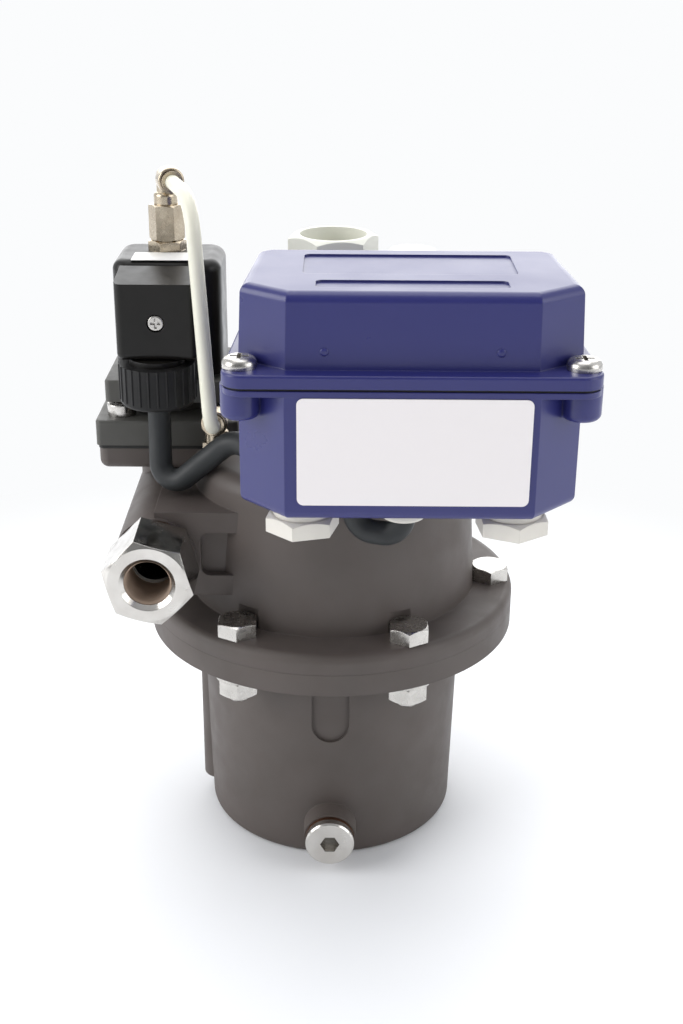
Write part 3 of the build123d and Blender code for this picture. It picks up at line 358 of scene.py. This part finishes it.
@dataclass
class PressureVessel(SubAssembly):
    """The cast cup and head with their flange bolts, outlet bush and drain plug."""

    finishes: Dict[str, Finish] = field(default_factory=lambda: {
        "cup": CAST_ALUMINIUM, "head_casting": CAST_ALUMINIUM, "flange_ring": NITRILE,
        "flange_bolts": STAINLESS, "flange_washers": STAINLESS, "flange_nuts": STAINLESS,
        "drain_plug": MACHINED_STEEL, "drain_plug_seal": DULL_COPPER, "outlet_bush": MACHINED_STEEL,
        "outlet_seal": DULL_COPPER, "inlet_plug": MILKY_POLYETHYLENE, "vent_plug": MILKY_POLYETHYLENE})
    thread_pitch: float = 1.337
    thread_turns: int = 12
    thread_root_r: float = 8.0
    thread_crest_r: float = 7.3
    thread_start: float = 2.0
    thread_wall: float = 0.1
    thread_steps: int = 64

    def build(self) -> None:
        """Adds the pipe thread that shows inside the outlet bush, as rings of one pitch."""
        low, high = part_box("outlet_bush")
        centre = ((low[0] + high[0]) / 2, low[1], (low[2] + high[2]) / 2)
        half_turns = range(2 * self.thread_turns + 1)
        root = self.thread_root_r - self.thread_wall
        inner = [(self.thread_start + k * self.thread_pitch / 2, self.thread_crest_r if k % 2 else root)
                 for k in half_turns]
        outer = [(inner[-1][0], self.thread_root_r), (inner[0][0], self.thread_root_r)]
        mesh = bmesh.new()
        corners = [mesh.verts.new((centre[0] + radius * MM, centre[1] + depth * MM, centre[2]))
                   for depth, radius in inner + outer]
        edges = [mesh.edges.new(pair) for pair in zip(corners, corners[1:] + corners[:1])]
        bmesh.ops.spin(mesh, geom=corners + edges, cent=centre, axis=(0, 1, 0), angle=2 * math.pi,
                       steps=self.thread_steps, use_merge=True, use_duplicate=False)
        bmesh.ops.remove_doubles(mesh, verts=mesh.verts[:], dist=1e-6)
        # The thread's pale brown finish is painted light inside the bore, not a stain.
        finish_piece(mesh, "outlet_thread", PAINTED_LIGHT_THREAD, "housing")


@dataclass
class DiaphragmValve(SubAssembly):
    """The diaphragm valve with its cover, and the pilot base on it."""

    finishes: Dict[str, Finish] = field(default_factory=lambda: {
        "diaphragm": NITRILE, "valve_disc": NITRILE, "valve_spring": SPRING_STEEL,
        "valve_cover": COATED_VALVE, "cover_screws": STAINLESS, "pilot_base": COATED_VALVE})


@dataclass
class PilotSolenoid(SubAssembly):
    """The coil on its guide tube, with its moving armature."""

    label_size: Point = (24.0, 12.0, 0.3)
    label_inset: float = 10.4

    finishes: Dict[str, Finish] = field(default_factory=lambda: {
        "guide_tube": STAINLESS, "armature": STAINLESS, "armature_spring": SPRING_STEEL,
        "coil": BLACK_POLYAMIDE, "coil_nut": NICKEL_BRASS, "riser": NICKEL_BRASS})

    def build(self) -> None:
        """Adds the blank label on the coil's top, by its front edge."""
        low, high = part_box("coil")
        centre = ((low[0] + high[0]) / 2, low[1] + self.label_inset * MM, high[2] + 0.1 * MM)
        label = plate(centre, tuple(v * MM for v in self.label_size), 0.1 * MM)
        finish_piece(label, "coil_label", COIL_LABEL, "housing")


@dataclass
class CoilPlug(SubAssembly):
    """The square electrical plug on the coil, with its gland and cable."""

    finishes: Dict[str, Finish] = field(default_factory=lambda: {
        "plug_gasket": NITRILE, "plug_housing": BLACK_POLYAMIDE, "plug_insert": BLACK_GLAND,
        "plug_screw": STAINLESS, "gland_nut": BLACK_GLAND, "cable": CABLE_SHEATH})


@dataclass
class PilotLine(SubAssembly):
    """The white tube between the two push-in elbows."""

    finishes: Dict[str, Finish] = field(default_factory=lambda: {
        "elbow": NICKEL_BRASS, "elbow_collet": NICKEL_BRASS, "port_elbow": NICKEL_BRASS,
        "port_collet": NICKEL_BRASS, "pilot_line": TUBE_POLYAMIDE})


@dataclass
class ControlBox(SubAssembly):
    """The blue enclosure with its lid, blank label, plugs and electronics."""

    finishes: Dict[str, Finish] = field(default_factory=lambda: {
        "control_base": BLUE_POLYCARBONATE, "control_lid": BLUE_POLYCARBONATE, "lid_gasket": NITRILE,
        "lid_screws": STAINLESS, "blanking_plugs": PALE_POLYAMIDE, "blanking_seals": PALE_POLYAMIDE,
        "cable_entry": PALE_POLYAMIDE, "label_plate": LABEL_FILM, "box_gasket": NITRILE,
        "box_screws": STAINLESS, "circuit_board": CIRCUIT_BOARD, "board_screws": STAINLESS,
        "terminal_block": PALE_POLYAMIDE})
    mark_reach: float = 25.3
    mark_z: float = 208.0
    mark_r: float = 1.3
    mark_search: float = 50.0
    mark_flatness: float = 0.35

    def build(self) -> None:
        """Adds the two gate marks that the mould left low on the lid's front."""
        low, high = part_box("control_lid")
        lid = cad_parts["control_lid"]
        for side in (-1, 1):
            mark_x = (low[0] + high[0]) / 2 + side * self.mark_reach * MM
            start = Vector((mark_x, low[1] - self.mark_search * MM, self.mark_z * MM))
            _, place, _, _ = lid.ray_cast(start, Vector((0, 1, 0)))
            mesh = bmesh.new()
            bmesh.ops.create_uvsphere(mesh, u_segments=24, v_segments=12, radius=self.mark_r * MM)
            bmesh.ops.scale(mesh, vec=(1.0, self.mark_flatness, 1.0), verts=mesh.verts[:])
            bmesh.ops.translate(mesh, vec=place, verts=mesh.verts[:])
            name = "gate_mark_left" if side < 0 else "gate_mark_right"
            finish_piece(mesh, name, BLUE_POLYCARBONATE, "housing")


@dataclass
class LevelProbe(SubAssembly):
    """The level probe that hangs into the cup."""

    finishes: Dict[str, Finish] = field(default_factory=lambda: {
        "probe_body": STAINLESS, "probe_nut": STAINLESS, "probe_sleeve": WHITE_PTFE,
        "probe_rod": STAINLESS})


# ------------------------------------------------------------------ studio
@dataclass(frozen=True)
class Lamp:
    """One square soft lamp: its place and size in metres and its power in watts."""

    name: str
    place: Point
    size: float
    power: float


@dataclass
class Studio:
    """A plain pale floor, soft lamps and the camera."""

    eye: Point = (0.0028, -0.4881, 0.3236)
    pitch: float = 22.78
    roll: float = 0.41
    yaw: float = 0.08
    lens: float = 50.2
    shadow_reach: float = 0.10
    white_reach: float = 0.36
    room_strength: float = 0.22
    sweep_strength: float = 0.95
    room_end: float = -0.95
    sweep_start: float = 0.1
    floor_half: float = 6.0
    lamp_target: Point = (0, 0, 0.12)
    lamps: Tuple[Lamp, ...] = (
        Lamp("key", (-1.05, -0.4, 0.6), 0.8, 8.5),
        Lamp("fill", (1.05, -0.5, 0.55), 0.8, 4.5),
        Lamp("top", (0.0, 0.15, 1.3), 0.9, 4.0),
        Lamp("back", (0.0, 1.25, 0.75), 1.7, 16.0))

    def make(self) -> None:
        """Sets up the floor, the world, the lamps and the camera."""
        self._floor()
        self._world()
        self._lamps()
        self._camera()
        bpy.context.scene.view_settings.view_transform = "Standard"

    def _floor(self) -> None:
        """A wide floor that shows white to the camera and still takes the object's shadow."""
        mesh = bmesh.new()
        bmesh.ops.create_grid(mesh, x_segments=1, y_segments=1, size=self.floor_half)
        data = bpy.data.meshes.new("floor")
        mesh.to_mesh(data)
        mesh.free()
        floor = bpy.data.objects.new("floor", data)
        bpy.context.scene.collection.objects.link(floor)
        paint = bpy.data.materials.new("floor_paint")
        paint.use_nodes = True
        tree = paint.node_tree
        shader = tree.nodes["Principled BSDF"]
        shader.inputs["Base Color"].default_value = srgb("#f4f5f7")
        shader.inputs["Roughness"].default_value = 0.9
        place = add_node(tree, "TexCoord").outputs["Object"]
        distance = add_node(tree, "VectorMath", {"0": place}, operation="LENGTH").outputs["Value"]
        far = add_node(tree, "MapRange", {"Value": distance}, interpolation_type="SMOOTHSTEP",
                       From_Min=self.shadow_reach, From_Max=self.white_reach).outputs["Result"]
        rays = add_node(tree, "LightPath")
        seen = add_node(tree, "Math", {"0": far, "1": rays.outputs["Is Camera Ray"]}, operation="MULTIPLY")
        white = add_node(tree, "Emission", Color=srgb("#fbfcfd"), Strength=1.0)
        mix = add_node(tree, "MixShader", {"0": seen.outputs[0], "1": shader.outputs[0],
                                           "2": white.outputs[0]})
        tree.links.new(mix.outputs[0], tree.nodes["Material Output"].inputs["Surface"])
        data.materials.append(paint)

    def _world(self) -> None:
        """A pale sweep behind and beside the drain and a dimmer room in front; it is seen as white."""
        world = bpy.data.worlds.new("studio")
        bpy.context.scene.world = world
        world.use_nodes = True
        tree = world.node_tree
        direction = add_node(tree, "SeparateXYZ", {"0": add_node(tree, "TexCoord").outputs["Generated"]})
        strength = add_node(tree, "MapRange", {"Value": direction.outputs["Y"]},
                            interpolation_type="SMOOTHSTEP", From_Min=self.room_end,
                            From_Max=self.sweep_start, To_Min=self.room_strength,
                            To_Max=self.sweep_strength)
        background = tree.nodes["Background"]
        background.inputs["Color"].default_value = srgb("#f6f8fb")
        tree.links.new(strength.outputs["Result"], background.inputs["Strength"])
        seen = add_node(tree, "Background", Color=srgb("#ffffff"), Strength=1.0)
        rays = add_node(tree, "LightPath")
        mix = add_node(tree, "MixShader", {"0": rays.outputs["Is Camera Ray"], "1": background.outputs[0],
                                           "2": seen.outputs[0]})
        tree.links.new(mix.outputs[0], tree.nodes["World Output"].inputs["Surface"])

    def _lamps(self) -> None:
        """Large soft lamps: a key from the left, a fill from the right, one above and one behind."""
        for lamp in self.lamps:
            data = bpy.data.lights.new(lamp.name, "AREA")
            data.energy = lamp.power
            data.size = lamp.size
            stand = bpy.data.objects.new(lamp.name, data)
            bpy.context.scene.collection.objects.link(stand)
            stand.location = lamp.place
            ahead = Vector(self.lamp_target) - Vector(lamp.place)
            stand.rotation_euler = ahead.to_track_quat("-Z", "Y").to_euler()

    def _camera(self) -> None:
        """The camera in front of the drain, looking down at it."""
        pitch, roll, yaw = (math.radians(a) for a in (self.pitch, self.roll, self.yaw))
        ahead = Vector((math.sin(yaw) * math.cos(pitch), math.cos(yaw) * math.cos(pitch), -math.sin(pitch)))
        right = Vector((math.cos(yaw), -math.sin(yaw), 0))
        up = right.cross(ahead)
        side = math.cos(roll) * right + math.sin(roll) * up
        top = -math.sin(roll) * right + math.cos(roll) * up
        data = bpy.data.cameras.new("camera")
        data.sensor_fit = "VERTICAL"
        data.sensor_height = 36.0
        data.lens = self.lens
        data.clip_start = 0.01
        camera = bpy.data.objects.new("camera", data)
        bpy.context.scene.collection.objects.link(camera)
        rows = [(side[k], top[k], -ahead[k], self.eye[k]) for k in range(3)]
        camera.matrix_world = Matrix(rows + [(0, 0, 0, 1)])
        bpy.context.scene.camera = camera


def main() -> None:
    """Builds the studio and every sub-assembly."""
    logging.basicConfig(level=logging.INFO, format="%(name)s: %(message)s")
    Studio().make()
    for assembly in (PressureVessel(), DiaphragmValve(), PilotSolenoid(), CoilPlug(), PilotLine(),
                     ControlBox(), LevelProbe()):
        log.info("sub-assembly %s", type(assembly).__name__)
        assembly.make()


if __name__ == "__main__":
    main()
